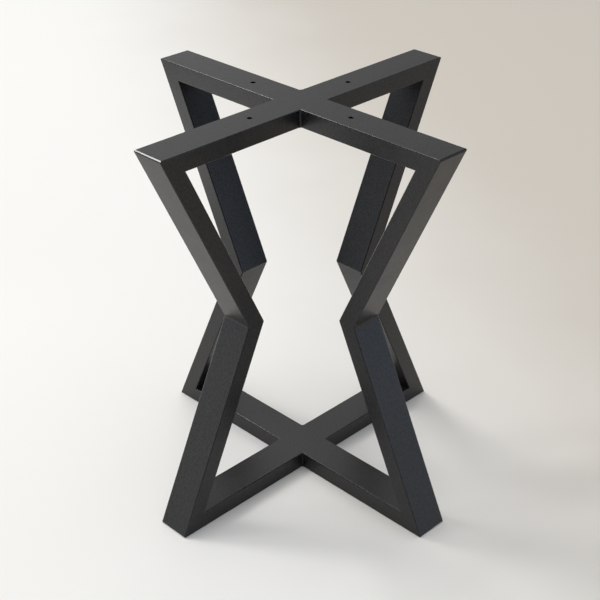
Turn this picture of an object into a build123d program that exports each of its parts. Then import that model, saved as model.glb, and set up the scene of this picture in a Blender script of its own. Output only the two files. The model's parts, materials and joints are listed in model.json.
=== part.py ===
from build123d import *
import os
from math import atan2, cos, radians, sin, sqrt, tan

# Welded steel base for a low table, in millimetres. Two closed frames of rectangular tube,
# each pinched in at mid height like an hourglass, cross at right angles on a common axis.
# +Z is up, and the origin is on the floor, under the middle of the crossing.

# Driving dimensions
overall_height = 455.0
overall_span = 411.0  # tip to tip along one frame, at the top and at the feet
waist_span = 198.0  # across the outer faces of two opposite knees
tube_width = 40.0  # across the plane of a frame
tube_depth = 20.0  # in the plane of a frame
tube_wall = 1.5
tube_corner = 1.2  # rolled outer corners of the tube
ground_edge = 1.5  # rounding left by grinding the welded tips and the inner knees
screw_hole_pitch = 102.0  # side of the square on which the tabletop screws stand
screw_hole_diameter = 5.5
cross_bead_leg = 1.2
knee_bead_leg = 2.0
bead_crown = 0.2  # how far the face of a weld bead swells past a straight line

# Directions of the four legs in plan, in degrees from +X, a quarter turn apart
quarters = ("back_right", "back_left", "front_left", "front_right")
headings = {quarter: 45 + 90 * turn for turn, quarter in enumerate(quarters)}
through_frame = ("front_left", "back_right")  # its bars run on through the crossing
butted_frame = ("front_right", "back_left")  # its bars stop at the side of the others

# Sizes that follow from them
knee_height = overall_height / 2
lean = atan2((overall_span - waist_span) / 2, overall_height / 2)
half_tube = tube_width / 2
saw_allowance = 2 * tube_depth  # stock left past each end for the saw cuts
screw_hole_radius = screw_hole_pitch / sqrt(2)  # from the axis of the base
levels = {"top": overall_height - tube_depth / 2, "bottom": tube_depth / 2}


def side_points(inset):
    """Tip, knee and foot of a frame's side, as radius and height, with its lines moved in."""
    slant = inset / cos(lean)
    radius = overall_span / 2 - inset * tan(lean) - slant
    tip = (radius, overall_height - inset)
    knee = (waist_span / 2 - slant, knee_height)
    foot = (radius, inset)
    return tip, knee, foot


def ring_points(inset):
    """The six corners of a frame's outline, its lines moved in by the inset."""
    side = side_points(inset)
    return [*side, *((-radius, height) for radius, height in reversed(side))]


def frame_plane(heading):
    """Upright plane through the axis: local X runs out along the heading, local Y is up."""
    angle = radians(heading)
    return Plane(
        origin=(0, 0, 0),
        x_dir=(cos(angle), sin(angle), 0),
        z_dir=(sin(angle), -cos(angle), 0),
    )


def place(heading, radius, height):
    """Point in space at a radius out along the heading and a height above the floor."""
    return frame_plane(heading).from_local_coords(Vector(radius, height, 0))


def mitre(corner, along, neighbour):
    """Saw plane that halves a corner and faces the member that leaves it along the first."""
    return Plane(origin=corner, z_dir=along.normalized() - neighbour.normalized())


def tube(heading, start, start_cut, end, end_cut):
    """Length of tube between two points of a frame, sawn at both ends and ground flush."""
    plane = frame_plane(heading)
    stock = Plane(origin=start, x_dir=plane.z_dir, z_dir=end - start)
    with BuildPart() as piece:
        with BuildSketch(stock.offset(-saw_allowance)):
            RectangleRounded(tube_width, tube_depth, tube_corner)
            Rectangle(
                tube_width - 2 * tube_wall,
                tube_depth - 2 * tube_wall,
                mode=Mode.SUBTRACT,
            )
        extrude(amount=(end - start).length + 2 * saw_allowance)
        split(bisect_by=start_cut, keep=Keep.TOP)
        split(bisect_by=end_cut, keep=Keep.TOP)
        with BuildSketch(plane) as outline:
            with BuildLine():
                Polyline(*ring_points(0), close=True)
            make_face()
            rows = outline.vertices().group_by(Axis.Y)
            fillet(rows[0] + rows[-1], ground_edge)
        extrude(amount=tube_width, both=True, mode=Mode.INTERSECT)
        with BuildSketch(plane) as opening:
            with BuildLine():
                Polyline(*ring_points(tube_depth), close=True)
            make_face()
            fillet(opening.vertices().group_by(Axis.Y)[1], ground_edge)
        extrude(amount=tube_width, both=True, mode=Mode.SUBTRACT)
    return piece


def screw_points(sides):
    """Mouths of the tabletop screw holes on the named sides, in the top face of the bars."""
    return [place(headings[side], screw_hole_radius, overall_height) for side in sides]


def finish(piece, name):
    """Label a finished piece and write its file."""
    piece.part.label = name
    export_step(piece.part, f"parts/{name}.step")


os.makedirs("parts", exist_ok=True)
axis_tip, axis_knee, axis_foot = side_points(tube_depth / 2)
axis_ends = {"top": axis_tip, "bottom": axis_foot}

# Bars that run through the crossing, drilled at the top for two of the tabletop screws
for level, corner in axis_ends.items():
    near, far = (headings[quarter] for quarter in through_frame)
    start = place(near, *corner)
    end = place(far, *corner)
    start_leg = place(near, *axis_knee) - start
    end_leg = place(far, *axis_knee) - end
    with BuildPart() as through_bar:
        add(
            tube(
                near,
                start,
                mitre(start, end - start, start_leg),
                end,
                mitre(end, start - end, end_leg),
            )
        )
        if level == "top":
            with Locations(*screw_points(through_frame)):
                Hole(radius=screw_hole_diameter / 2, depth=tube_depth)
    finish(through_bar, f"{level}_through_bar")

# Half bars, cut square where they butt against the through bars
for level, corner in axis_ends.items():
    for quarter in butted_frame:
        heading = headings[quarter]
        end = place(heading, *corner)
        start = place(heading, half_tube, levels[level])
        end_leg = place(heading, *axis_knee) - end
        with BuildPart() as half_bar:
            add(
                tube(
                    heading,
                    start,
                    Plane(origin=start, z_dir=end - start),
                    end,
                    mitre(end, start - end, end_leg),
                )
            )
            if level == "top":
                with Locations(*screw_points([quarter])):
                    Hole(radius=screw_hole_diameter / 2, depth=tube_depth)
        finish(half_bar, f"{level}_half_bar_{quarter}")

# Legs, mitred to a bar at the tip and to each other at the knee
for quarter, heading in headings.items():
    knee = place(heading, *axis_knee)
    outward = frame_plane(heading).x_dir
    legs = {"upper": axis_tip, "lower": axis_foot}
    for half, corner in legs.items():
        tip = place(heading, *corner)
        other_corner = axis_foot if half == "upper" else axis_tip
        other_leg = place(heading, *other_corner) - knee
        with BuildPart() as leg:
            add(
                tube(
                    heading,
                    tip,
                    mitre(tip, knee - tip, -outward),
                    knee,
                    mitre(knee, tip - knee, other_leg),
                )
            )
        finish(leg, f"{half}_leg_{quarter}")

# Weld beads round the butted ends: a fillet up each side, and the groove over the rounded
# edge of the through bar filled and ground flush above and below
for level, height in levels.items():
    for quarter in butted_frame:
        heading = headings[quarter]
        outward = frame_plane(heading).x_dir
        across = frame_plane(heading).z_dir
        toe = half_tube + cross_bead_leg
        groove = half_tube - tube_corner
        swell = half_tube + cross_bead_leg / 2 + bead_crown / sqrt(2)
        bead_plan = Plane(origin=(0, 0, height), x_dir=outward, z_dir=(0, 0, 1))
        with BuildPart() as cross_bead:
            with BuildSketch(bead_plan):
                with BuildLine():
                    Polyline((half_tube, toe), (groove, toe), (groove, -toe), (half_tube, -toe))
                    ThreePointArc((half_tube, -toe), (swell, -swell), (toe, -half_tube))
                    Line((toe, -half_tube), (toe, half_tube))
                    ThreePointArc((toe, half_tube), (swell, swell), (half_tube, toe))
                make_face()
            extrude(amount=tube_depth / 2, both=True)
            with BuildSketch(Plane(origin=(0, 0, height), x_dir=outward, z_dir=across)):
                RectangleRounded(tube_width, tube_depth, tube_corner)
            extrude(amount=tube_width, both=True, mode=Mode.SUBTRACT)
            butt = place(heading, half_tube, height)
            with BuildSketch(Plane(origin=butt, x_dir=across, z_dir=outward)):
                RectangleRounded(tube_width, tube_depth, tube_corner)
            extrude(amount=tube_width, mode=Mode.SUBTRACT)
        finish(cross_bead, f"cross_weld_{level}_{quarter}")

# Weld beads in the folds of the knees, between the rounded edges of the legs
for quarter, heading in headings.items():
    fold = waist_span / 2
    reach = fold + knee_bead_leg * sin(lean)
    rise = knee_bead_leg * cos(lean)
    with BuildPart() as knee_bead:
        with BuildSketch(frame_plane(heading)):
            with BuildLine():
                Polyline(
                    (reach, knee_height + rise),
                    (fold, knee_height),
                    (reach, knee_height - rise),
                )
                ThreePointArc(
                    (reach, knee_height - rise),
                    (reach + bead_crown, knee_height),
                    (reach, knee_height + rise),
                )
            make_face()
        extrude(amount=half_tube - tube_corner, both=True)
    finish(knee_bead, f"knee_weld_{quarter}")
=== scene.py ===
import json
import logging
from dataclasses import dataclass
from enum import Enum
from itertools import product
from math import asin, atan2, cos, hypot, pi, radians, sin, sqrt, tan
from typing import Any, Mapping, Optional, Sequence, Union

import bmesh
import bpy
import numpy as np
from mathutils import Euler, Matrix
from numpy.typing import ArrayLike


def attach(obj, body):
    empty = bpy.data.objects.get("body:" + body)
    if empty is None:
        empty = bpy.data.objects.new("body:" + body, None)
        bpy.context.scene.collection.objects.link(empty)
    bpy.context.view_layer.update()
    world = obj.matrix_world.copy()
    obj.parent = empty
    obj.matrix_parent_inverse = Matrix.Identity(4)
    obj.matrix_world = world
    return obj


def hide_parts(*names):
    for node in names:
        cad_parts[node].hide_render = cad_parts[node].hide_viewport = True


# Look of a welded steel base for a low table: two closed frames of rectangular tube, pinched in
# at mid height like an hourglass, cross at right angles and are coated black. Lengths are in
# metres, +Z is up, and the origin is on the floor, under the middle of the crossing. Each piece
# is worked out as reach (out from the axis), across (square to its frame) and height.

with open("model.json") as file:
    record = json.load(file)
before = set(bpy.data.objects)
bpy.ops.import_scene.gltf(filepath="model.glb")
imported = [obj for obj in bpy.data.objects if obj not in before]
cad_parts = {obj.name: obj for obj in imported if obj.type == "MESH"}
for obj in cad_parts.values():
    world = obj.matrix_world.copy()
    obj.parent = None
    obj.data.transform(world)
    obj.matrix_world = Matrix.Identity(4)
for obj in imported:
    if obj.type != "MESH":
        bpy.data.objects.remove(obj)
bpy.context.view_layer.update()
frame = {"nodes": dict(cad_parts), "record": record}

log = logging.getLogger("table_base")

Number = Union[float, "Value"]
Colour = Union[tuple[float, ...], bpy.types.NodeSocket]

MILLIMETRES = 1000  # in a metre

# Places of the sockets on a Mix node set to colour, where several inputs share a name
MIX_SHARE, MIX_FIRST, MIX_SECOND, MIX_RESULT = 0, 6, 7, 2


def linear(*channels: float) -> tuple[float, float, float, float]:
    """Turn a colour as a screen shows it, 0 to 255, into the light it stands for.

    It follows the sRGB curve: a straight line near black, and a power of 2.4 above it.

    Args:
        channels: Red, green and blue.

    Returns:
        Red, green, blue and a full alpha, from 0 to 1.
    """
    shown = np.array(channels) / 255
    light = np.where(shown <= 0.04045, shown / 12.92, ((shown + 0.055) / 1.055) ** 2.4)
    return (*light.tolist(), 1.0)


class Quarter(Enum):
    """One of the four sides of the base, by its heading in degrees from +X."""

    BACK_RIGHT = 45.0
    BACK_LEFT = 135.0
    FRONT_LEFT = 225.0
    FRONT_RIGHT = 315.0

    @property
    def label(self) -> str:
        """The quarter's name as it stands in the names of the pieces."""
        return self.name.lower()

    @property
    def axes(self) -> np.ndarray:
        """Rows of unit vectors: outward along the heading, across the frame, and up."""
        angle = radians(self.value)
        return np.array(
            [[cos(angle), sin(angle), 0], [sin(angle), -cos(angle), 0], [0, 0, 1]]
        )

    def place(self, reach: ArrayLike, across: ArrayLike, height: ArrayLike) -> np.ndarray:
        """Carry local coordinates into the shared frame.

        Each point is its reach, across and height times the three unit vectors, added up.

        Args:
            reach: Distances out from the axis, as a number or an array.
            across: Distances square to the frame's plane.
            height: Heights above the floor.

        Returns:
            The points, with X, Y and Z along the last axis.
        """
        local = np.stack(np.broadcast_arrays(reach, across, height), axis=-1)
        return local @ self.axes

    def measure(self, node: str) -> np.ndarray:
        """Read a node's points as rows of reach, across and height.

        Args:
            node: Name of a node of the frame.

        Returns:
            One row for each vertex.
        """
        vertices = frame["nodes"][node].data.vertices
        points = np.empty(len(vertices) * 3)
        vertices.foreach_get("co", points)
        return points.reshape(-1, 3) @ self.axes.T


THROUGH = (Quarter.FRONT_LEFT, Quarter.BACK_RIGHT)
BUTTED = (Quarter.FRONT_RIGHT, Quarter.BACK_LEFT)


@dataclass(frozen=True)
class BaseSizes:
    """Sizes of the base, read from the frame's nodes, and those of its edges."""

    height: float
    tube_width: float
    tube_depth: float
    waist_radius: float
    lean: float
    hole_pitch: float
    hole_radius: float
    cross_bead: float
    knee_bead: float
    tube_wall: float = 0.0015
    tube_corner: float = 0.0012
    ground_edge: float = 0.0015
    ground_land: float = 0.0025
    ground_slope: float = radians(30)
    hole_rim: float = 0.0004

    @classmethod
    def from_frame(cls) -> "BaseSizes":
        """Measure the frame.

        With A the height from the knee to the inner side of the bar, B the reach from the
        knee to the inner corner of the tip and d the tube's depth, the inner side of a leg
        gives A sin(lean) - B cos(lean) = d, so lean = atan(B / A) + asin(d / hypot(A, B)).

        Returns:
            The sizes, in metres.
        """
        touching = 1e-6
        side = THROUGH[1]
        bar = side.measure("top_through_bar")
        leg = side.measure(f"upper_leg_{side.label}")
        height = bar[:, 2].max()
        depth = np.ptp(bar[:, 2])
        inner_tip = bar[bar[:, 2] < height - depth + touching, 0].max()
        knee = leg[leg[:, 2] < height / 2 + touching, 0].max()
        rise = height / 2 - depth
        run = inner_tip - knee
        lean = atan2(run, rise) + asin(depth / hypot(rise, run))
        width = np.ptp(bar[:, 1])
        cross_bead = BUTTED[0].measure(f"cross_weld_top_{BUTTED[0].label}")
        knee_bead = side.measure(f"knee_weld_{side.label}")
        screws = next(m for m in frame["record"]["mounts"] if m["kind"] == "bolt_pattern")
        return cls(
            height=height,
            tube_width=width,
            tube_depth=depth,
            waist_radius=knee,
            lean=lean,
            hole_pitch=screws["dims"]["spacing_x_mm"] / MILLIMETRES,
            hole_radius=screws["dims"]["hole_r_mm"] / MILLIMETRES,
            cross_bead=cross_bead[:, 0].max() - width / 2,
            knee_bead=np.ptp(knee_bead[:, 2]) / 2 / cos(lean),
        )

    @property
    def tip_radius(self) -> float:
        """Reach of a sharp tip, where the outer sides of bar and leg would meet."""
        return self.waist_radius + self.height / 2 * tan(self.lean)

    def tip(self) -> tuple[float, float]:
        """Work out the corner of the centre lines at a tip of the top.

        Both centre lines lie half a tube inside the outline: the bar's is lower by that
        inset, and the leg's is nearer the axis by inset / cos(lean).

        Returns:
            Its reach and its height.
        """
        inset = self.tube_depth / 2
        reach = self.tip_radius - inset * tan(self.lean) - inset / cos(self.lean)
        return reach, self.height - inset

    def knee(self) -> tuple[float, float]:
        """Reach and height of the corner of the centre lines at a knee."""
        return self.waist_radius - self.tube_depth / 2 / cos(self.lean), self.height / 2

    def foot(self) -> tuple[float, float]:
        """Reach and height of the corner of the centre lines at a foot."""
        reach, height = self.tip()
        return reach, self.height - height


class Cut(Enum):
    """How a tube is cut at an end, by the side that is left long: 1 outer, -1 inner."""

    TIP = 1
    KNEE = -1
    SQUARE = 0

    def half_angle(self, lean: float) -> float:
        """Half the angle between the two tubes that meet at this cut.

        Args:
            lean: Angle between a leg and the upright, in radians.

        Returns:
            The angle between the tube's centre line and the saw plane, in radians.
        """
        return {Cut.TIP: (pi / 2 - lean) / 2, Cut.KNEE: pi / 2 - lean, Cut.SQUARE: pi / 2}[self]


@dataclass(frozen=True)
class Surface:
    """A grid of points that closes on itself both ways, like a ring of rings."""

    points: np.ndarray

    def faces(self, first: int) -> np.ndarray:
        """List the corners of the faces: each joins a point to the next row and column.

        Args:
            first: Number of the grid's first vertex in the mesh.

        Returns:
            Four vertex numbers for each face.
        """
        rows, columns = self.points.shape[:2]
        here = first + np.arange(rows * columns).reshape(rows, columns)
        down = np.roll(here, -1, axis=0)
        corners = (here, down, np.roll(down, -1, axis=1), np.roll(here, -1, axis=1))
        return np.stack(corners, axis=-1).reshape(-1, 4)


def build(
    name: str, surfaces: Sequence[Surface], nearest: float = 2e-6
) -> bpy.types.Object:
    """Make one piece from closed surfaces, with doubles merged and faces outward.

    Args:
        name: Name of the piece.
        surfaces: Closed surfaces, clear of each other.
        nearest: Distance in metres below which two points are one.

    Returns:
        The object, at the origin, with its place in its mesh.
    """
    sizes = [surface.points.shape[0] * surface.points.shape[1] for surface in surfaces]
    firsts = np.concatenate([[0], np.cumsum(sizes)[:-1]])
    points = np.concatenate([surface.points.reshape(-1, 3) for surface in surfaces])
    faces = np.concatenate([s.faces(first) for s, first in zip(surfaces, firsts)])
    mesh = bpy.data.meshes.new(name)
    mesh.from_pydata(points.tolist(), [], faces.tolist())
    work = bmesh.new()
    work.from_mesh(mesh)
    bmesh.ops.remove_doubles(work, verts=work.verts, dist=nearest)
    bmesh.ops.recalc_face_normals(work, faces=work.faces)
    work.to_mesh(mesh)
    work.free()
    piece = bpy.data.objects.new(name, mesh)
    bpy.context.scene.collection.objects.link(piece)
    return piece


def settle(piece: bpy.types.Object) -> None:
    """Apply the modifiers of a piece to its mesh.

    Args:
        piece: The object, which is left with no modifier.
    """
    graph = bpy.context.evaluated_depsgraph_get()
    shaped = piece.evaluated_get(graph)
    mesh = bpy.data.meshes.new_from_object(
        shaped, preserve_all_data_layers=True, depsgraph=graph
    )
    piece.modifiers.clear()
    rough, piece.data = piece.data, mesh
    bpy.data.meshes.remove(rough)
    mesh.name = piece.name


def mark_edges(piece: bpy.types.Object, widest: float = 0.003) -> None:
    """Mark the narrow faces of a tube, those of its rolled corners and ground edges.

    The attribute "edge" is 1 on a face whose area divided by its longest side is less than
    the widest width, and 0 on the others.

    Args:
        piece: The tube.
        widest: Width from which a face is no longer narrow, in metres.
    """
    mesh = piece.data
    areas = np.empty(len(mesh.polygons))
    starts = np.empty(len(mesh.polygons), dtype=int)
    sides = np.empty(len(mesh.loops), dtype=int)
    ends = np.empty(len(mesh.edges) * 2, dtype=int)
    points = np.empty(len(mesh.vertices) * 3)
    mesh.polygons.foreach_get("area", areas)
    mesh.polygons.foreach_get("loop_start", starts)
    mesh.loops.foreach_get("edge_index", sides)
    mesh.edges.foreach_get("vertices", ends)
    mesh.vertices.foreach_get("co", points)
    first, second = points.reshape(-1, 3)[ends.reshape(-1, 2)].swapaxes(0, 1)
    lengths = np.linalg.norm(second - first, axis=1)
    longest = np.maximum.reduceat(lengths[sides], starts)
    share = mesh.attributes.new("edge", "FLOAT", "FACE")
    share.data.foreach_set("value", (areas < widest * longest).astype(np.float32))


def smooth(piece: bpy.types.Object, crease: float = 25.0) -> None:
    """Shade a piece smoothly between its creases, with wide flat faces kept flat.

    Args:
        piece: The object.
        crease: Angle between two faces, in degrees, from which their edge stays sharp.
    """
    piece.data.shade_smooth()
    piece.data.set_sharp_from_angle(angle=radians(crease))
    weighted = piece.modifiers.new("weighted", "WEIGHTED_NORMAL")
    weighted.mode = "FACE_AREA"
    weighted.keep_sharp = True
    settle(piece)


@dataclass(frozen=True)
class Tube:
    """One length of rectangular tube in the plane of a frame, cut at both ends."""

    name: str
    quarter: Quarter
    start: tuple[float, float]
    start_cut: Cut
    end: tuple[float, float]
    end_cut: Cut
    sizes: BaseSizes
    corner_steps: int = 8
    arc_steps: int = 10

    def section(self) -> tuple[np.ndarray, np.ndarray]:
        """Outline of the tube's outside, a rectangle with rolled corners.

        Each corner is a quarter circle about a centre that lies one corner radius inside
        both sides; the flat sides are the gaps between the quarters.

        Returns:
            The distances across the frame, and outward in its plane.
        """
        radius = self.sizes.tube_corner
        turn = np.linspace(0, pi / 2, self.corner_steps + 1)
        angle = turn + np.arange(4)[:, None] * pi / 2
        middle = pi / 4 + np.arange(4)[:, None] * pi / 2
        across = np.sign(np.cos(middle)) * (self.sizes.tube_width / 2 - radius)
        outward = np.sign(np.sin(middle)) * (self.sizes.tube_depth / 2 - radius)
        across = across + radius * np.cos(angle)
        outward = outward + radius * np.sin(angle)
        return across.ravel(), outward.ravel()

    def run_out(self, outward: np.ndarray, cut: Cut) -> tuple[np.ndarray, np.ndarray]:
        """Carry an outline past the end of the centre line, up to the saw plane.

        With b half the angle of the joint, a point at depth u under the long side would meet
        the saw plane (depth / 2 - u) / tan(b) past the corner of the centre lines.

        Args:
            outward: Outline distances in the frame's plane, outward from the centre line.
            cut: How this end is cut.

        Returns:
            Distances along the tube and outward, one row for each step.
        """
        if cut is Cut.SQUARE:
            return np.zeros((1, outward.size)), outward[None]
        half = cut.half_angle(self.sizes.lean)
        half_depth = self.sizes.tube_depth / 2
        ground = self.ground_flat if cut is Cut.TIP else self.ground_round
        back, sunk = ground(half_depth - cut.value * outward, half)
        return half_depth / tan(half) - back, cut.value * (half_depth - sunk)

    def ground_round(self, below: np.ndarray, half: float) -> tuple[np.ndarray, np.ndarray]:
        """Round the long edge of a cut end.

        The arc has the radius r = max(ground edge - u, 0). It leaves the straight line
        r / tan(b) before the saw plane and turns through 90 degrees - b to it.

        Args:
            below: Depths u under the long side.
            half: The angle b between the centre line and the saw plane.

        Returns:
            Distances back from the sharp tip and down from the long side, one row a step.
        """
        radius = np.maximum(self.sizes.ground_edge - below, 0)
        turn = np.linspace(0, pi / 2 - half, self.arc_steps + 1)[:, None]
        back = (below + radius) / tan(half) - radius * np.sin(turn)
        return back, below + radius * (1 - np.cos(turn))

    def ground_flat(self, below: np.ndarray, half: float) -> tuple[np.ndarray, np.ndarray]:
        """Grind a narrow flat land on the long edge of a cut end.

        The land is a plane that leaves the long side at a distance c from the sharp tip and
        drops at the slope g. It meets the saw plane at the depth c / (cot(g) + cot(b)). A
        line at a lesser depth u ends on it, c - u cot(g) back from the tip.

        Args:
            below: Depths u under the long side.
            half: The angle b between the centre line and the saw plane.

        Returns:
            Distances back from the sharp tip and down from the long side, in two rows.
        """
        land, slope = self.sizes.ground_land, self.sizes.ground_slope
        lowest = land / (1 / tan(slope) + 1 / tan(half))
        deep = np.maximum(below, lowest)
        back = np.maximum(below / tan(half), land - below / tan(slope))
        return np.stack([back, deep / tan(half)]), np.stack([below, deep])

    def skin(self, across: np.ndarray, outward: np.ndarray) -> np.ndarray:
        """Carry an outline along the tube from one saw plane to the other.

        Args:
            across: Outline distances square to the frame's plane.
            outward: Outline distances in the frame's plane.

        Returns:
            A grid of points in the shared frame: rows along the tube, columns round it.
        """
        start, end = np.array(self.start), np.array(self.end)
        length = np.linalg.norm(end - start)
        course = (end - start) / length
        normal = np.array([-course[1], course[0]])
        middle = (start + end) / 2 - np.array([0, self.sizes.height / 2])
        normal = normal * np.sign(normal @ middle)
        start_along, start_out = self.run_out(outward, self.start_cut)
        end_along, end_out = self.run_out(outward, self.end_cut)
        along = np.concatenate([-start_along[::-1], length + end_along])
        out = np.concatenate([start_out[::-1], end_out])
        reach = start[0] + along * course[0] + out * normal[0]
        height = start[1] + along * course[1] + out * normal[1]
        return self.quarter.place(reach, across, height)

    def make(self) -> bpy.types.Object:
        """Build the tube: its outside, its bore and the sawn rims as one closed surface.

        Returns:
            The piece.
        """
        across, outward = self.section()
        half_bore = self.sizes.tube_width / 2 - self.sizes.tube_wall
        half_deep = self.sizes.tube_depth / 2 - self.sizes.tube_wall
        bore_across = np.clip(across, -half_bore, half_bore)
        bore_outward = np.clip(outward, -half_deep, half_deep)
        outside = self.skin(across, outward)
        bore = self.skin(bore_across, bore_outward)
        return build(f"coated_{self.name}", [Surface(np.concatenate([outside, bore[::-1]]))])


@dataclass(frozen=True)
class ScrewHoles:
    """The drilled holes for the tabletop screws, through both walls of the top bars."""

    sizes: BaseSizes
    rim_start: float = pi / 12
    rim_steps: int = 6
    round_steps: int = 48
    overshoot: float = 0.002

    def mill(self, quarter: Quarter) -> bpy.types.Object:
        """Make the shape that is taken out of a bar for one hole.

        It is a profile turned about the hole's axis: a straight bore that flares at each face
        of the bar along an arc, radius = bore + rim (1 - sin t), depth under the face =
        rim (1 - cos t), with t from the rim's start to a right angle. It opens and stands out
        of the face by the overshoot at both ends.

        Args:
            quarter: The side of the base on which the hole lies.

        Returns:
            The shape as a closed mesh.
        """
        rim = self.sizes.hole_rim
        upper_face = self.sizes.height
        lower_face = upper_face - self.sizes.tube_depth
        turn = np.linspace(self.rim_start, pi / 2, self.rim_steps)
        flare = self.sizes.hole_radius + rim * (1 - np.sin(turn))
        mouth = np.concatenate([[0, flare[0] + self.overshoot], flare])
        depth = np.concatenate([[-self.overshoot] * 2, rim * (1 - np.cos(turn))])
        radii = np.concatenate([mouth, mouth[::-1]])
        levels = np.concatenate([upper_face - depth, lower_face + depth[::-1]])
        angle = np.linspace(0, 2 * pi, self.round_steps, endpoint=False)
        reach = self.sizes.hole_pitch / sqrt(2) + radii[:, None] * np.cos(angle)
        across = radii[:, None] * np.sin(angle)
        points = quarter.place(reach, across, levels[:, None])
        return build("mill", [Surface(points)])

    def drill(self, bar: bpy.types.Object, quarters: Sequence[Quarter]) -> None:
        """Take the holes of the named sides out of a bar.

        Args:
            bar: The bar, whose mesh is changed.
            quarters: The sides on which it has a hole.
        """
        mills = [self.mill(quarter) for quarter in quarters]
        for mill in mills:
            cut = bar.modifiers.new("hole", "BOOLEAN")
            cut.operation = "DIFFERENCE"
            cut.solver = "EXACT"
            cut.object = mill
        settle(bar)
        for mill in mills:
            mesh = mill.data
            bpy.data.objects.remove(mill)
            bpy.data.meshes.remove(mesh)


@dataclass(frozen=True)
class Bead:
    """A fillet of weld in a corner: a three-sided section carried along a straight run."""

    quarter: Quarter
    root: np.ndarray
    toes: tuple[np.ndarray, np.ndarray]
    run: np.ndarray
    taper: float
    crown: float = 0.0002
    ripple: float = 0.0001
    ripple_pitch: float = 0.0014
    ripple_bow: float = 0.45
    face_steps: int = 10
    run_step: float = 0.00016

    def surface(self) -> Surface:
        """Work out the bead, closed at both ends.

        The face goes from toe to toe as t runs from 0 to 1. It swells by the crown times
        4t(1 - t) and by ripples, each a raised cosine of the distance along the run, whose
        crests are bowed back in the middle, by a share of the pitch, like rings left by a
        moving puddle. Over the taper at each end the section shrinks on to its root along a
        quarter circle, and one more row there, a single point, closes it.

        Returns:
            The surface: rows along the run, columns round the section.
        """
        length = np.linalg.norm(self.run)
        along = np.linspace(0, length, max(2, round(length / self.run_step)))[:, None]
        t = np.linspace(0, 1, self.face_steps + 1)
        arch = 4 * t * (1 - t)
        first, second = self.toes
        chord = second - first
        swell_to = np.cross(chord, self.run)
        swell_to = swell_to / np.linalg.norm(swell_to)
        swell_to = swell_to * np.sign(swell_to @ ((first + second) / 2 - self.root))
        phase = 2 * pi * (along / self.ripple_pitch - self.ripple_bow * arch)
        swell = arch * (self.crown + self.ripple * (1 + np.cos(phase)) / 2)
        face = first + t[:, None] * chord + swell[..., None] * swell_to
        section = np.concatenate([face, np.broadcast_to(self.root, (len(along), 1, 3))], axis=1)
        inside = np.clip(np.minimum(along, length - along) / self.taper, 0, 1)
        size = np.sqrt(1 - (1 - inside) ** 2)
        section = self.root + (section - self.root) * size[..., None]
        body = section + along[..., None] * self.run / length
        ends = [np.broadcast_to(body[end].mean(axis=0), (1, *body.shape[1:])) for end in (0, -1)]
        local = np.concatenate([ends[0], body, ends[1]])
        return Surface(self.quarter.place(local[..., 0], local[..., 1], local[..., 2]))


@dataclass(frozen=True)
class CrossWeld:
    """Weld round the butted end of a half bar: a bead up each side, and both grooves filled."""

    quarter: Quarter
    level: str
    sizes: BaseSizes
    taper: float = 0.0007
    groove_steps: int = 8

    @property
    def name(self) -> str:
        """Name of the node that the weld stands for."""
        return f"cross_weld_{self.level}_{self.quarter.label}"

    def groove(self, face: float, inward: float) -> Surface:
        """Fill the groove between the rolled edge of the through bar and the butted end.

        The section is bounded by the bar's quarter circle, by the plane of the butt and by
        the flat face of the cross, with which it is ground flush. It runs across the joint,
        and a row of one point closes it at each end.

        Args:
            face: Height of the flat face of the cross.
            inward: Direction into the bar from that face: 1 up, -1 down.

        Returns:
            The surface: rows across the joint, columns round the section.
        """
        radius = self.sizes.tube_corner
        half = self.sizes.tube_width / 2
        turn = np.linspace(0, pi / 2, self.groove_steps + 1)
        reach = np.append(half - radius + radius * np.sin(turn), half)
        height = np.append(face + inward * radius * (1 - np.cos(turn)), face)
        end = half + self.sizes.cross_bead
        across = np.array([-end, -end, end, end])[:, None]
        reach = np.tile(reach, (4, 1))
        height = np.tile(height, (4, 1))
        reach[[0, 3]] = reach[0].mean()
        height[[0, 3]] = height[0].mean()
        return Surface(self.quarter.place(reach, across, height))

    def make(self) -> bpy.types.Object:
        """Build the weld as one piece.

        Returns:
            The piece.
        """
        half = self.sizes.tube_width / 2
        leg = self.sizes.cross_bead
        depth = self.sizes.tube_depth
        floor = self.sizes.height - depth if self.level == "top" else 0.0
        surfaces = [self.groove(floor, 1), self.groove(floor + depth, -1)]
        for side in (-1, 1):
            root = np.array([half, side * half, floor])
            toes = (root + [0, side * leg, 0], root + [leg, 0, 0])
            bead = Bead(self.quarter, root, toes, np.array([0, 0, depth]), taper=self.taper)
            surfaces.append(bead.surface())
        return build(f"coated_{self.name}", surfaces)


@dataclass(frozen=True)
class KneeWeld:
    """Weld in the fold of a knee, between the rolled edges of the legs."""

    quarter: Quarter
    sizes: BaseSizes
    taper: float = 0.0015

    @property
    def name(self) -> str:
        """Name of the node that the weld stands for."""
        return f"knee_weld_{self.quarter.label}"

    def make(self) -> bpy.types.Object:
        """Build the weld as one piece.

        Returns:
            The piece.
        """
        lean = self.sizes.lean
        leg = self.sizes.knee_bead
        half_run = self.sizes.tube_width / 2 - self.sizes.tube_corner
        root = np.array([self.sizes.waist_radius, -half_run, self.sizes.height / 2])
        toes = tuple(
            root + np.array([leg * sin(lean), 0, side * leg * cos(lean)])
            for side in (1, -1)
        )
        bead = Bead(self.quarter, root, toes, np.array([0, 2 * half_run, 0]), taper=self.taper)
        return build(f"coated_{self.name}", [bead.surface()])


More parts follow.
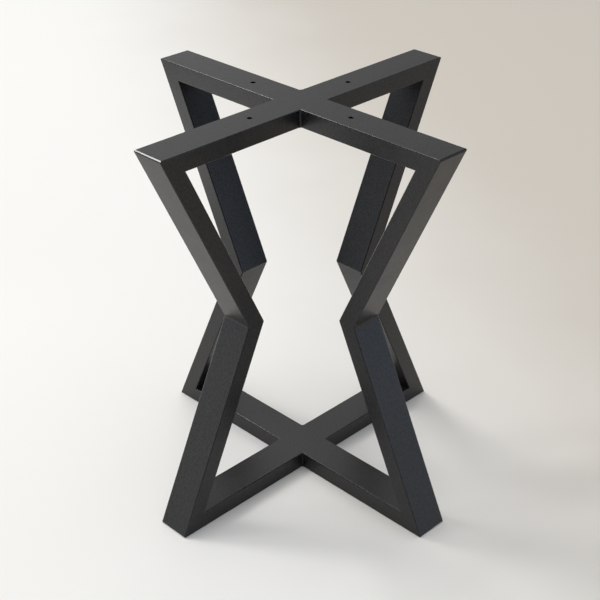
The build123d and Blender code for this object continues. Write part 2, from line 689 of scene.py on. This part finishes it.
class Value:
    """A number that a node gives, on which arithmetic adds Math nodes."""

    def __init__(self, graph: "Graph", socket: bpy.types.NodeSocket) -> None:
        """Wrap a socket.

        Args:
            graph: The graph that the socket belongs to.
            socket: The output that carries the number.
        """
        self.graph = graph
        self.socket = socket

    def _math(self, operation: str, first: Number, second: Number) -> "Value":
        """Add a Math node for one operation on two numbers."""
        node = self.graph.node("ShaderNodeMath", {"operation": operation}, {0: first, 1: second})
        return Value(self.graph, node.outputs[0])

    def __add__(self, other: Number) -> "Value":
        """Self plus other."""
        return self._math("ADD", self, other)

    __radd__ = __add__

    def __sub__(self, other: Number) -> "Value":
        """Self minus other."""
        return self._math("SUBTRACT", self, other)

    def __rsub__(self, other: Number) -> "Value":
        """Other minus self."""
        return self._math("SUBTRACT", other, self)

    def __mul__(self, other: Number) -> "Value":
        """Self times other."""
        return self._math("MULTIPLY", self, other)

    __rmul__ = __mul__


class Graph:
    """The nodes of one material or of the world."""

    def __init__(self, tree: bpy.types.NodeTree) -> None:
        """Start on an empty tree.

        Args:
            tree: The tree, whose nodes are cleared.
        """
        self.tree = tree
        tree.nodes.clear()

    def node(
        self,
        kind: str,
        settings: Optional[Mapping[str, Any]] = None,
        inputs: Optional[Mapping[Union[str, int], Any]] = None,
    ) -> bpy.types.Node:
        """Add a node.

        Args:
            kind: The node's type.
            settings: Its own properties, which are set first.
            inputs: For each input, by name or place, a value, a socket or a Value.

        Returns:
            The node.
        """
        node = self.tree.nodes.new(kind)
        for name, setting in (settings or {}).items():
            setattr(node, name, setting)
        for name, given in (inputs or {}).items():
            source = given.socket if isinstance(given, Value) else given
            if isinstance(source, bpy.types.NodeSocket):
                self.tree.links.new(source, node.inputs[name])
            else:
                node.inputs[name].default_value = source
        return node

    def here(self) -> bpy.types.NodeSocket:
        """The point on the object that is shaded, in metres."""
        return self.node("ShaderNodeTexCoord").outputs["Object"]

    def noise(self, scale: float, detail: float = 2.0, roughness: float = 0.5) -> Value:
        """A cloudy pattern from 0 to 1 over the object.

        Args:
            scale: How many features lie in a metre.
            detail: How many finer layers are added.
            roughness: Share that each finer layer keeps.

        Returns:
            The pattern.
        """
        inputs = {"Vector": self.here(), "Scale": scale, "Detail": detail, "Roughness": roughness}
        return Value(self, self.node("ShaderNodeTexNoise", inputs=inputs).outputs[0])

    def blend(self, share: Number, first: Colour, second: Colour) -> bpy.types.NodeSocket:
        """Mix two colours.

        Args:
            share: How much of the second colour shows.
            first: Colour where the share is 0.
            second: Colour where the share is 1.

        Returns:
            The mixed colour.
        """
        settings = {"data_type": "RGBA", "clamp_factor": True}
        inputs = {MIX_SHARE: share, MIX_FIRST: first, MIX_SECOND: second}
        return self.node("ShaderNodeMix", settings, inputs).outputs[MIX_RESULT]

    def spread(self, value: Value, low: float, high: float) -> Value:
        """Ease a value from 0 at low to 1 at high.

        Args:
            value: The value.
            low: Where the result leaves 0.
            high: Where it reaches 1.

        Returns:
            The eased share.
        """
        inputs = {"Value": value, "From Min": low, "From Max": high}
        settings = {"interpolation_type": "SMOOTHSTEP"}
        return Value(self, self.node("ShaderNodeMapRange", settings, inputs).outputs[0])

    def split(self, vector: bpy.types.NodeSocket) -> tuple[Value, Value, Value]:
        """The X, Y and Z of a vector."""
        node = self.node("ShaderNodeSeparateXYZ", inputs={0: vector})
        return tuple(Value(self, socket) for socket in node.outputs)

    def end(self, output: str, shader: str, inputs: Mapping[str, Any]) -> None:
        """Close the graph with a shader and the output that it feeds.

        Args:
            output: The output node's type.
            shader: The shader node's type.
            inputs: What the shader's inputs are given.
        """
        node = self.node(shader, inputs=inputs)
        self.node(output, inputs={"Surface": node.outputs[0]})


@dataclass(frozen=True)
class PowderCoat:
    """Black fine-textured powder coat, baked on: satin, with a close pebbled grain."""

    deep: tuple[float, ...] = linear(5, 5, 6)
    pale: tuple[float, ...] = linear(38, 37, 37)
    roughness: float = 0.35
    edge_roughness: float = 0.14
    edge_smoothing: float = 0.8
    refraction: float = 1.42
    grain_size: float = 0.0022
    grain_height: float = 0.0002
    dust_fineness: float = 2.2
    pebble_weight: float = 0.7
    dust_weight: float = 0.3
    mottle_scale: float = 45.0
    speck_from: float = 0.35
    speck_to: float = 0.65
    speck_colour: float = 0.7
    mottle_colour: float = 0.3
    mottle_roughness: float = 0.12
    dust_roughness: float = 0.1

    def material(self) -> bpy.types.Material:
        """Make the material.

        The grain's height is two noises added up by their weights, pebbles and a finer dust.
        It gives the bump, and its crests are the pale specks of the colour. A slow mottle
        from uneven powder moves the colour and the roughness a little. On the narrow edges
        the coat is smoother and its grain weaker, so that they catch a lamp as a line.

        Returns:
            The material.
        """
        material = bpy.data.materials.new("powder_coat")
        material.use_nodes = True
        graph = Graph(material.node_tree)
        pebbles = graph.noise(1 / self.grain_size, detail=1.0)
        dust = graph.noise(self.dust_fineness / self.grain_size, roughness=0.6)
        mottle = graph.noise(self.mottle_scale, detail=4.0, roughness=0.65)
        height = self.pebble_weight * pebbles + self.dust_weight * dust
        speck = graph.spread(height, self.speck_from, self.speck_to)
        share = self.mottle_colour * mottle + self.speck_colour * speck
        named = {"attribute_name": "edge"}
        edge = Value(graph, graph.node("ShaderNodeAttribute", named).outputs["Fac"])
        grain = {
            "Strength": 1 - self.edge_smoothing * edge,
            "Distance": self.grain_height,
            "Height": height,
        }
        uneven = self.mottle_roughness * (mottle - 0.5) + self.dust_roughness * (dust - 0.5)
        smoother = (self.roughness - self.edge_roughness) * edge
        finish = {
            "Base Color": graph.blend(share, self.deep, self.pale),
            "Roughness": self.roughness + uneven - smoother,
            "Normal": graph.node("ShaderNodeBump", inputs=grain).outputs[0],
            "IOR": self.refraction,
        }
        graph.end("ShaderNodeOutputMaterial", "ShaderNodeBsdfPrincipled", finish)
        return material


@dataclass(frozen=True)
class TableBase:
    """The whole welded base."""

    sizes: BaseSizes
    coat: PowderCoat = PowderCoat()

    def bars(self) -> list[tuple[Tube, Sequence[Quarter]]]:
        """Lay out the bars of the top and of the bottom.

        Returns:
            Each bar with the sides of the base that it spans.
        """
        ends = {"top": self.sizes.tip(), "bottom": self.sizes.foot()}
        bars = []
        for level, (reach, height) in ends.items():
            through_bar = Tube(
                f"{level}_through_bar",
                THROUGH[1],
                (-reach, height),
                Cut.TIP,
                (reach, height),
                Cut.TIP,
                self.sizes,
            )
            bars.append((through_bar, THROUGH))
            for quarter in BUTTED:
                half_bar = Tube(
                    f"{level}_half_bar_{quarter.label}",
                    quarter,
                    (self.sizes.tube_width / 2, height),
                    Cut.SQUARE,
                    (reach, height),
                    Cut.TIP,
                    self.sizes,
                )
                bars.append((half_bar, (quarter,)))
        return bars

    def legs(self) -> list[Tube]:
        """Lay out the legs, each from a tip or a foot to the knee.

        Returns:
            The upper and the lower leg of each side in turn.
        """
        ends = {"upper": self.sizes.tip(), "lower": self.sizes.foot()}
        return [
            Tube(
                f"{half}_leg_{quarter.label}",
                quarter,
                end,
                Cut.TIP,
                self.sizes.knee(),
                Cut.KNEE,
                self.sizes,
            )
            for quarter in Quarter
            for half, end in ends.items()
        ]

    def welds(self) -> list[Union[CrossWeld, KneeWeld]]:
        """Lay out the beads at the crossings and in the knees.

        Returns:
            The welds of the top cross, of the bottom cross and of the knees.
        """
        places = product(("top", "bottom"), BUTTED)
        crosses = [CrossWeld(quarter, level, self.sizes) for level, quarter in places]
        return [*crosses, *(KneeWeld(quarter, self.sizes) for quarter in Quarter)]

    def dress(self, piece: bpy.types.Object, node: str, material: bpy.types.Material) -> None:
        """Finish a piece: its shading, its coat and its place on the base.

        Args:
            piece: The piece.
            node: Name of the node that it stands for.
            material: The coat.
        """
        smooth(piece)
        piece.data.materials.clear()
        piece.data.materials.append(material)
        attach(piece, "root")
        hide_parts(node)
        log.info("%s: %d faces", piece.name, len(piece.data.polygons))

    def make(self) -> None:
        """Build and dress every piece."""
        material = self.coat.material()
        holes = ScrewHoles(self.sizes)
        for bar, quarters in self.bars():
            piece = bar.make()
            if bar.name.startswith("top"):
                holes.drill(piece, quarters)
            mark_edges(piece)
            self.dress(piece, bar.name, material)
        for leg in self.legs():
            piece = leg.make()
            mark_edges(piece)
            self.dress(piece, leg.name, material)
        for weld in self.welds():
            self.dress(weld.make(), weld.name, material)


@dataclass(frozen=True)
class Floor:
    """A wide pale floor, paler and cooler on the left and in front than behind to the right,
    where its colour is darkened as painted shade of the light's fall-off and warmed in tone.
    """

    # Painted shade: the right colour is darker and warmer than the left, standing for the light
    # falling off to the right and behind.
    left: tuple[float, ...] = linear(236, 233, 227)
    right: tuple[float, ...] = linear(200, 192, 180)
    half_side: float = 30.0
    fade_from: float = -0.12
    fade_to: float = 0.64
    painted_shade_and_tone_slant: float = 0.28
    cloud_scale: float = 2.5
    cloud_shift: float = 0.2
    roughness: float = 0.85
    gloss: float = 0.2

    def material(self) -> bpy.types.Material:
        """Make the floor's material: matt, with a slow change of colour that is painted shade,
        and faint clouds.

        The colour goes from left to right as x + slant y, moved by the clouds, goes from where
        the painted shade begins to where it is full: the right colour, darker and warmer, is
        painted shade of the light falling off to the right and behind.

        Returns:
            The material.
        """
        material = bpy.data.materials.new("pale_floor")
        material.use_nodes = True
        graph = Graph(material.node_tree)
        x, y, _ = graph.split(graph.here())
        clouds = graph.noise(self.cloud_scale, detail=3.0, roughness=0.55)
        # Painted shade: as this runs from the first limit to the second, the floor's colour
        # darkens and warms towards the right and behind, as the light's fall-off would.
        painted_shade_drift = x + self.painted_shade_and_tone_slant * y + self.cloud_shift * (clouds - 0.5)
        share = graph.spread(painted_shade_drift, self.fade_from, self.fade_to)
        finish = {
            "Base Color": graph.blend(share, self.left, self.right),
            "Roughness": self.roughness,
            "Specular IOR Level": self.gloss,
        }
        graph.end("ShaderNodeOutputMaterial", "ShaderNodeBsdfPrincipled", finish)
        return material

    def make(self) -> None:
        """Lay the floor: a flat square centred under the base."""
        mesh = bpy.data.meshes.new("studio_floor")
        side = self.half_side
        corners = [(-side, -side, 0), (side, -side, 0), (side, side, 0), (-side, side, 0)]
        mesh.from_pydata(corners, [], [(0, 1, 2, 3)])
        floor = bpy.data.objects.new("studio_floor", mesh)
        bpy.context.scene.collection.objects.link(floor)
        mesh.materials.append(self.material())


@dataclass(frozen=True)
class SoftBox:
    """A lamp with a soft even face, aimed at the base."""

    name: str
    azimuth: float
    elevation: float
    distance: float
    width: float
    height: float
    radiance: float
    roll: float = 0.0
    aim_height: float = 0.25
    spread: float = 180.0

    def make(self) -> None:
        """Hang the lamp.

        Its azimuth is counted from +X towards +Y, and its power is what gives its face the
        stated radiance, seen square on: power = radiance times pi times the face's area times
        1 - a / tan(a), where a is half the spread, the cone to which a grid holds its light.
        """
        lamp = bpy.data.lights.new(self.name, "AREA")
        lamp.shape = "RECTANGLE"
        lamp.size = self.width
        lamp.size_y = self.height
        lamp.spread = radians(self.spread)
        cone = radians(self.spread) / 2
        lamp.energy = self.radiance * pi * self.width * self.height * (1 - cone / tan(cone))
        tilt, turn = pi / 2 - radians(self.elevation), radians(self.azimuth) + pi / 2
        level = Euler((tilt, 0, turn)).to_matrix()
        turned = level @ Matrix.Rotation(radians(self.roll), 3, "Z")
        away = turned.col[2] * self.distance
        holder = bpy.data.objects.new(self.name, lamp)
        holder.rotation_euler = turned.to_euler()
        holder.location = (away[0], away[1], away[2] + self.aim_height)
        bpy.context.scene.collection.objects.link(holder)


@dataclass(frozen=True)
class Room:
    """The room round the floor, as the coat reflects it.

    It is dim in front, brighter on the left and behind, bright overhead and low on the right,
    and has a glow low down to the left. Each pair of limits is where one colour begins to turn
    into the next and where it has, along the X, Y or Z of the direction from the base.
    """

    front: tuple[float, ...] = (0.2, 0.2, 0.2, 1.0)
    left: tuple[float, ...] = (0.85, 0.9, 0.98, 1.0)
    upper_left: tuple[float, ...] = (0.52, 0.57, 0.66, 1.0)
    right: tuple[float, ...] = (1.22, 1.46, 1.8, 1.0)
    upper_right: tuple[float, ...] = (0.33, 0.38, 0.46, 1.0)
    back_left: tuple[float, ...] = (0.82, 0.82, 0.83, 1.0)
    back_right: tuple[float, ...] = (0.34, 0.34, 0.34, 1.0)
    above: tuple[float, ...] = (1.65, 1.65, 1.65, 1.0)
    glow: tuple[float, ...] = (1.9, 1.88, 1.82, 1.0)
    seen: tuple[float, ...] = linear(234, 230, 224)
    left_rise: tuple[float, float] = (0.2, 0.36)
    right_rise: tuple[float, float] = (0.1, 0.34)
    left_to_right: tuple[float, float] = (-0.6, 0.6)
    back_to_right: tuple[float, float] = (-0.2, 0.12)
    above_to_right: tuple[float, float] = (0.2, 0.55)
    front_to_sides: tuple[float, float] = (-0.95, -0.35)
    sides_to_back: tuple[float, float] = (0.1, 0.7)
    overhead: tuple[float, float] = (0.7, 0.95)
    overhead_slant: float = 0.3
    glow_towards: tuple[float, float] = (-0.92, 0.39)
    glow_limits: tuple[float, float] = (0.76, 0.9)

    def make(self) -> None:
        """Make the world: a colour for each direction, and an even pale one for the camera."""
        world = bpy.data.worlds.new("room")
        world.use_nodes = True
        bpy.context.scene.world = world
        graph = Graph(world.node_tree)
        x, y, z = graph.split(graph.node("ShaderNodeTexCoord").outputs["Generated"])
        left = graph.blend(graph.spread(z, *self.left_rise), self.left, self.upper_left)
        right = graph.blend(graph.spread(z, *self.right_rise), self.right, self.upper_right)
        sides = graph.blend(graph.spread(x, *self.left_to_right), left, right)
        across_back = graph.spread(x, *self.back_to_right)
        back = graph.blend(across_back, self.back_left, self.back_right)
        across_top = graph.spread(x, *self.above_to_right)
        above = graph.blend(across_top, self.above, self.upper_right)
        colour = graph.blend(graph.spread(y, *self.front_to_sides), self.front, sides)
        colour = graph.blend(graph.spread(y, *self.sides_to_back), colour, back)
        high = graph.spread(z + self.overhead_slant * y, *self.overhead)
        colour = graph.blend(high, colour, above)
        glow_x, glow_y = self.glow_towards
        low = graph.spread(glow_y * y + glow_x * x - z, *self.glow_limits)
        colour = graph.blend(low, colour, self.glow)
        seen = graph.node("ShaderNodeLightPath").outputs["Is Camera Ray"]
        colour = graph.blend(Value(graph, seen), colour, self.seen)
        light = {"Color": colour, "Strength": 1.0}
        graph.end("ShaderNodeOutputWorld", "ShaderNodeBackground", light)


@dataclass(frozen=True)
class Viewpoint:
    """Where the picture is taken from, found by fitting the edges of the base."""

    position: tuple[float, float, float] = (0.0056, -1.2474, 0.9342)
    pan: float = 0.177
    tilt: float = -30.0
    roll: float = 0.244
    focal_pixels: float = 1268.9
    picture_pixels: float = 600.0

    def make(self) -> None:
        """Set up the camera, level and facing +Y before it is panned, tilted and rolled."""
        camera = bpy.data.cameras.new("camera")
        camera.lens = camera.sensor_width * self.focal_pixels / self.picture_pixels
        holder = bpy.data.objects.new("camera", camera)
        turned = Euler((radians(self.tilt), radians(self.roll), radians(self.pan)), "ZXY")
        level = Matrix.Rotation(pi / 2, 3, "X")
        holder.rotation_euler = (turned.to_matrix() @ level).to_euler()
        holder.location = self.position
        bpy.context.scene.collection.objects.link(holder)
        bpy.context.scene.camera = holder


LAMPS = (
    SoftBox(
        name="main",
        azimuth=147.0,
        elevation=46.5,
        distance=5.0,
        width=1.32,
        height=0.9,
        radiance=17.0,
        roll=-45.0,
    ),
    SoftBox(
        name="strip",
        azimuth=160.0,
        elevation=56.0,
        distance=5.0,
        width=1.0,
        height=0.4,
        radiance=15.0,
        roll=-29.0,
    ),
    SoftBox(
        name="low",
        azimuth=157.0,
        elevation=-10.0,
        distance=0.8,
        width=0.42,
        height=0.17,
        radiance=2.5,
        aim_height=0.23,
        spread=90.0,
    ),
    SoftBox(
        name="fill",
        azimuth=270.0,
        elevation=58.0,
        distance=3.6,
        width=2.4,
        height=2.4,
        radiance=0.5,
    ),
)


def main() -> None:
    """Build the base, the floor, the light and the camera."""
    logging.basicConfig(level=logging.INFO, format="%(name)s: %(message)s")
    bpy.context.scene.view_settings.view_transform = "Standard"
    TableBase(BaseSizes.from_frame()).make()
    Floor().make()
    Room().make()
    for lamp in LAMPS:
        lamp.make()
    Viewpoint().make()


if __name__ == "__main__":
    main()
